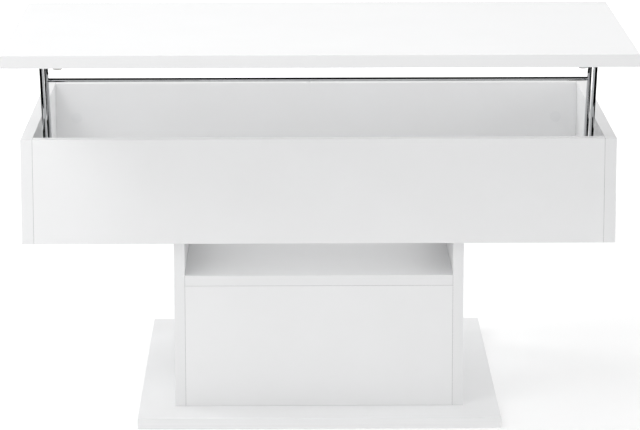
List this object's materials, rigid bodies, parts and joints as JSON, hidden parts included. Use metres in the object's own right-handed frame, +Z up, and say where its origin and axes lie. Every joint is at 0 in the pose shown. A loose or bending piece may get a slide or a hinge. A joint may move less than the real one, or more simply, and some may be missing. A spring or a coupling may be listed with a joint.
{
  "type": "lift top coffee table",
  "caption": "White board coffee table on a pedestal and base plate, with an open nook, a storage tray and a top that lifts and swings forward on paired chrome rod arms.",
  "frame": {"origin": "centre of the base plate's underside, on the floor", "axes": "+X to the user's right, +Y away from the user, +Z up; the top lifts towards -Y"},
  "size_m": [1.1, 1.106, 0.75],
  "materials": {
    "white_board": "white melamine on particle board, fine satin",
    "chrome_rod": "bright chrome plate",
    "zinc_steel": "bright zinc plate",
    "fastener_steel": "bright zinc plate",
    "cast_zinc": "die-cast zinc",
    "black_plastic": "moulded nylon",
    "white_plastic": "moulded plastic",
    "clear_rubber": "soft translucent pad",
    "beech_wood": "plain beech"
  },
  "bodies": {
    "cabinet": {"box_side_left": "white_board", "box_side_right": "white_board", "box_front_panel": "white_board", "box_back_panel": "white_board", "box_bottom_panel": "white_board", "pedestal_side_left": "white_board", "pedestal_side_right": "white_board", "pedestal_front_panel": "white_board", "pedestal_back_panel": "white_board", "pedestal_shelf": "white_board", "base_plate": "white_board", "lower_plate_left": "zinc_steel", "lower_plate_right": "zinc_steel", "stop_pin_left": "zinc_steel", "stop_pin_right": "zinc_steel", "lower_bushes": "black_plastic", "lower_plate_screws": "fastener_steel", "box_dowels": "beech_wood", "pedestal_dowels": "beech_wood", "cam_locks": "cast_zinc", "cam_bolts": "fastener_steel", "cam_covers": "white_plastic", "tray_screws": "fastener_steel", "tray_screw_caps": "white_plastic", "base_screws": "fastener_steel"},
    "rear_frame": {"rear_arm_left": "chrome_rod", "rear_arm_right": "chrome_rod", "crossbar": "chrome_rod", "rear_arm_push_nuts": "fastener_steel"},
    "front_arm_left": {"front_arm_left": "chrome_rod", "front_arm_push_nuts_left": "fastener_steel"},
    "front_arm_right": {"front_arm_right": "chrome_rod", "front_arm_push_nuts_right": "fastener_steel"},
    "top": {"tabletop": "white_board", "top_bracket_left": "zinc_steel", "top_bracket_right": "zinc_steel", "upper_bushes": "black_plastic", "top_bracket_screws": "fastener_steel", "bumper_pads": "clear_rubber"}
  },
  "joints": [
    {"name": "lift", "type": "hinge", "parent": "cabinet", "child": "rear_frame", "pos_m": [0, -0.125, 0.45814], "axis": [1, 0, 0], "range_deg": [-102.82, 0]},
    {"name": "front_arm_left_swing", "type": "hinge", "parent": "cabinet", "child": "front_arm_left", "pos_m": [-0.508, -0.23, 0.45814], "axis": [1, 0, 0], "range_deg": [-103.32, 0.5]},
    {"name": "front_arm_right_swing", "type": "hinge", "parent": "cabinet", "child": "front_arm_right", "pos_m": [0.508, -0.23, 0.45814], "axis": [1, 0, 0], "range_deg": [-103.32, 0.5]},
    {"name": "top_level", "type": "hinge", "parent": "rear_frame", "child": "top", "pos_m": [0, -0.24151, 0.708], "axis": [1, 0, 0], "range_deg": [-0.5, 103.32]}
  ],
  "couplings": [
    {"joint": "front_arm_left_swing", "follows": "lift", "ratio": 1},
    {"joint": "front_arm_right_swing", "follows": "lift", "ratio": 1},
    {"joint": "top_level", "follows": "lift", "ratio": -1}
  ]
}
